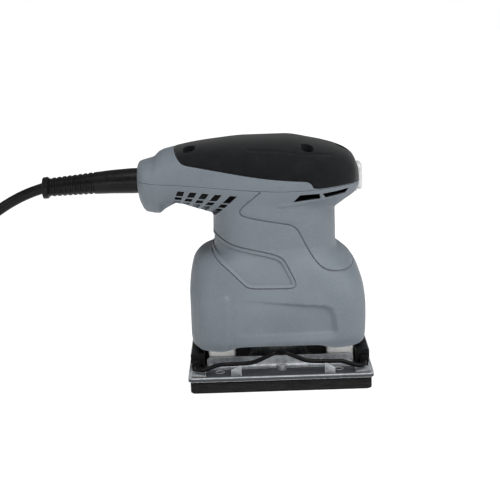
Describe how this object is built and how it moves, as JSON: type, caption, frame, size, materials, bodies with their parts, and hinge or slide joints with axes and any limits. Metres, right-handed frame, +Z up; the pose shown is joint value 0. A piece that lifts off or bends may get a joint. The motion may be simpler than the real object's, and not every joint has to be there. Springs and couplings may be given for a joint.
{
  "type": "orbital sander",
  "caption": "Quarter-sheet orbital palm sander: grey two-part housing with a black grip, spring-wire paper clamps on a flat plate with a foam pad, nose rocker switch and a mains lead.",
  "frame": {"origin": "centre of the sanding pad's underside, at rest", "axes": "+X towards the nose with the switch, +Z up out of the pad, so +Y is the tool's left seen from behind the handle"},
  "size_m": [0.3782, 0.1151, 0.1398],
  "materials": {
    "housing_plastic": "fine grained matte",
    "grip_rubber": "soft-touch grained",
    "screw_steel": "blackened",
    "motor_steel": "laminated and machined",
    "bearing_steel": "ground",
    "copper_winding": "enamelled copper",
    "brass_parts": "plain",
    "carbon": "pressed carbon",
    "black_plastic": "satin",
    "clear_silicone": "translucent",
    "white_nylon": "satin",
    "cord_rubber": "glossy flexible PVC",
    "wire_insulation": "smooth PVC",
    "plate_metal": "bare, slightly worn",
    "pad_foam": "closed-cell foam",
    "black_steel": "black coated"
  },
  "bodies": {
    "housing": {"main_housing": "housing_plastic", "top_cover": "housing_plastic", "soft_grip": "grip_rubber", "cover_screw_1": "screw_steel", "cover_screw_2": "screw_steel", "cover_screw_3": "screw_steel", "cover_screw_4": "screw_steel", "cover_screw_5": "screw_steel", "stator_core": "motor_steel", "field_coil_front": "copper_winding", "field_coil_rear": "copper_winding", "upper_bearing": "bearing_steel", "lower_bearing": "bearing_steel", "upper_bearing_holder": "black_plastic", "bearing_bridge": "plate_metal", "brush_holder_left": "brass_parts", "brush_holder_right": "brass_parts", "carbon_brush_left": "carbon", "carbon_brush_right": "carbon", "switch_body": "black_plastic", "switch_boot": "clear_silicone", "rear_left_leg": "white_nylon", "rear_right_leg": "white_nylon", "front_left_leg": "white_nylon", "front_right_leg": "white_nylon", "fan_baffle": "black_plastic", "cord_boot": "cord_rubber", "cord_inner_end": "cord_rubber", "cord_clamp": "black_plastic", "cord_clamp_screw_left": "screw_steel", "cord_clamp_screw_right": "screw_steel", "lead_left": "wire_insulation", "lead_right": "wire_insulation", "cord_run": "cord_rubber", "cord_coil": "cord_rubber", "coil_tie": "cord_rubber", "cord_tail": "cord_rubber", "plug_body": "cord_rubber", "plug_pin_left": "brass_parts", "plug_pin_right": "brass_parts"},
    "rotor": {"armature_shaft": "motor_steel", "armature_core": "motor_steel", "armature_winding_lower": "copper_winding", "armature_winding_upper": "copper_winding", "commutator": "brass_parts", "cooling_fan": "white_nylon", "counterweight": "motor_steel"},
    "platen": {"base_plate": "plate_metal", "sanding_pad": "pad_foam", "eccentric_bearing": "bearing_steel", "front_clamp_bracket": "black_steel", "rear_clamp_bracket": "black_steel"},
    "front_clamp": {"front_clamp_jaw": "black_steel", "front_clamp_lever": "black_steel"},
    "rear_clamp": {"rear_clamp_jaw": "black_steel", "rear_clamp_lever": "black_steel"},
    "rocker": {"switch_rocker": "black_plastic"}
  },
  "joints": [
    {"name": "rotor_spin", "type": "hinge", "parent": "housing", "child": "rotor", "pos_m": [0.0008, 0, 0.06], "axis": [0, 0, 1], "continuous": true},
    {"name": "platen_orbit", "type": "hinge", "parent": "rotor", "child": "platen", "pos_m": [0, 0, 0.022], "axis": [0, 0, 1], "continuous": true},
    {"name": "front_clamp_hinge", "type": "hinge", "parent": "platen", "child": "front_clamp", "pos_m": [0.0485, 0, 0.0125], "axis": [0, 1, 0], "range_deg": [0, 20], "stiffness_Nm_per_rad": 0.3, "springref_deg": -8.59},
    {"name": "rear_clamp_hinge", "type": "hinge", "parent": "platen", "child": "rear_clamp", "pos_m": [-0.0485, 0, 0.0125], "axis": [0, -1, 0], "range_deg": [0, 20], "stiffness_Nm_per_rad": 0.3, "springref_deg": -8.59},
    {"name": "rocker_tilt", "type": "hinge", "parent": "housing", "child": "rocker", "pos_m": [0.0456, 0, 0.1146], "axis": [0, 1, 0], "range_deg": [0, 14]}
  ],
  "couplings": [
    {"joint": "platen_orbit", "follows": "rotor_spin", "ratio": -1}
  ]
}
